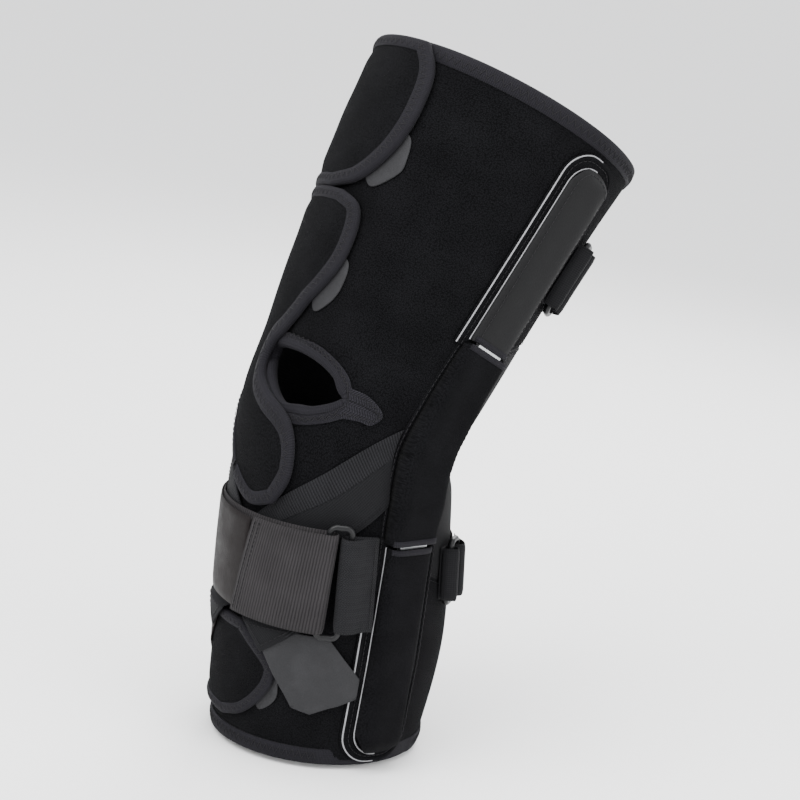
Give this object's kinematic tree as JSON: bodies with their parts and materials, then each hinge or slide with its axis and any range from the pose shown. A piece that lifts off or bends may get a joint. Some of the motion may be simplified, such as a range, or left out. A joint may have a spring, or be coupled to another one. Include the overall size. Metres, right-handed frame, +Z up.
{
  "type": "hinged knee brace",
  "caption": "Wrap-around knee brace with an open kneecap, two geared side hinges on sewn-in bars, crossed straps and ring-threaded closing straps.",
  "frame": {"origin": "middle of the knee channel, midway between the two hinges and between their upper and lower pivots", "axes": "+X to the outer side of the leg, +Y to the back of the knee, +Z up along the shin; the thigh half leans back 26 degrees"},
  "size_m": [0.1396, 0.1941, 0.3371],
  "materials": {
    "plush_cloth": "brushed loop pile, matt",
    "stretch_cloth": "brushed stretch loop pile, matt",
    "smooth_cloth": "smooth coated cloth, low sheen",
    "binding_tape": "fine folded elastic tape",
    "hook_tape": "fine grained hook tape back",
    "webbing": "ribbed woven webbing",
    "elastic": "fine knitted elastic",
    "aluminium_bar": "satin",
    "steel_plate": "satin",
    "rivet_steel": "satin",
    "nylon": "matt",
    "ring_plastic": "satin black",
    "foam": "soft closed foam"
  },
  "bodies": {
    "thigh": {"thigh_wrap": "plush_cloth", "thigh_top_hem": "binding_tape", "top_flap": "plush_cloth", "thigh_flap": "plush_cloth", "top_flap_binding": "binding_tape", "thigh_flap_binding": "binding_tape", "top_flap_tab": "hook_tape", "thigh_flap_tab": "hook_tape", "near_upper_pocket_base": "smooth_cloth", "far_upper_pocket_base": "smooth_cloth", "near_upper_pocket_cover": "smooth_cloth", "far_upper_pocket_cover": "smooth_cloth", "near_thigh_bar": "aluminium_bar", "far_thigh_bar": "aluminium_bar", "thigh_back_strap": "elastic", "thigh_strap_anchor": "elastic"},
    "hinge_links": {"knee_front_panel": "stretch_cloth", "popliteal_panel": "stretch_cloth", "kneecap_binding": "binding_tape", "knee_flap": "plush_cloth", "near_hinge_cover": "plush_cloth", "far_hinge_cover": "plush_cloth", "near_hinge_inner_plate": "steel_plate", "far_hinge_inner_plate": "steel_plate", "near_hinge_outer_plate": "steel_plate", "far_hinge_outer_plate": "steel_plate", "near_hinge_rivets": "rivet_steel", "far_hinge_rivets": "rivet_steel", "near_hinge_washers": "nylon", "far_hinge_washers": "nylon", "near_extension_stop": "steel_plate", "far_extension_stop": "steel_plate", "near_condyle_pad": "foam", "far_condyle_pad": "foam"},
    "calf": {"calf_wrap": "plush_cloth", "calf_bottom_hem": "binding_tape", "near_lower_pocket_base": "smooth_cloth", "far_lower_pocket_base": "smooth_cloth", "near_lower_pocket_cover": "plush_cloth", "far_lower_pocket_cover": "plush_cloth", "near_calf_bar": "aluminium_bar", "far_calf_bar": "aluminium_bar", "near_cross_strap": "elastic", "far_cross_strap": "elastic", "near_cross_strap_tab": "hook_tape", "far_cross_strap_tab": "hook_tape", "shin_strap": "webbing", "shin_strap_tab": "hook_tape", "shin_strap_anchor": "elastic", "calf_back_strap": "elastic", "calf_strap_anchor": "elastic", "shin_flap": "plush_cloth", "shin_flap_tab": "hook_tape", "shin_flap_binding": "binding_tape"},
    "shin_ring": {"shin_strap_ring": "ring_plastic"},
    "thigh_ring": {"thigh_strap_ring": "ring_plastic"},
    "calf_ring": {"calf_strap_ring": "ring_plastic"}
  },
  "joints": [
    {"name": "upper_pivot", "type": "hinge", "parent": "thigh", "child": "hinge_links", "pos_m": [0, 0.00191, 0.00828], "axis": [1, 0, 0], "range_deg": [-13, 42], "deforming": ["knee_front_panel", "popliteal_panel", "kneecap_binding", "knee_flap", "near_hinge_cover", "far_hinge_cover"]},
    {"name": "lower_pivot", "type": "hinge", "parent": "hinge_links", "child": "calf", "pos_m": [0, -0.00191, -0.00828], "axis": [1, 0, 0], "range_deg": [-13, 42], "deforming": ["near_cross_strap", "far_cross_strap", "calf_back_strap"]},
    {"name": "shin_ring_swing", "type": "hinge", "parent": "calf", "child": "shin_ring", "pos_m": [0.04743, -0.03362, -0.05928], "axis": [0.0291, -0.0208, 0.9994], "range_deg": [0, 20], "deforming": ["shin_strap"]},
    {"name": "thigh_ring_swing", "type": "hinge", "parent": "thigh", "child": "thigh_ring", "pos_m": [0.053, 0.06906, 0.08512], "axis": [-0.0684, -0.4795, -0.8749], "range_deg": [0, 20], "deforming": ["thigh_back_strap"]},
    {"name": "calf_ring_swing", "type": "hinge", "parent": "calf", "child": "calf_ring", "pos_m": [0.04588, 0.03066, -0.05978], "axis": [0.0448, 0.0296, -0.9986], "range_deg": [0, 20], "deforming": ["calf_back_strap"]}
  ],
  "couplings": [
    {"joint": "lower_pivot", "follows": "upper_pivot", "ratio": 1}
  ]
}
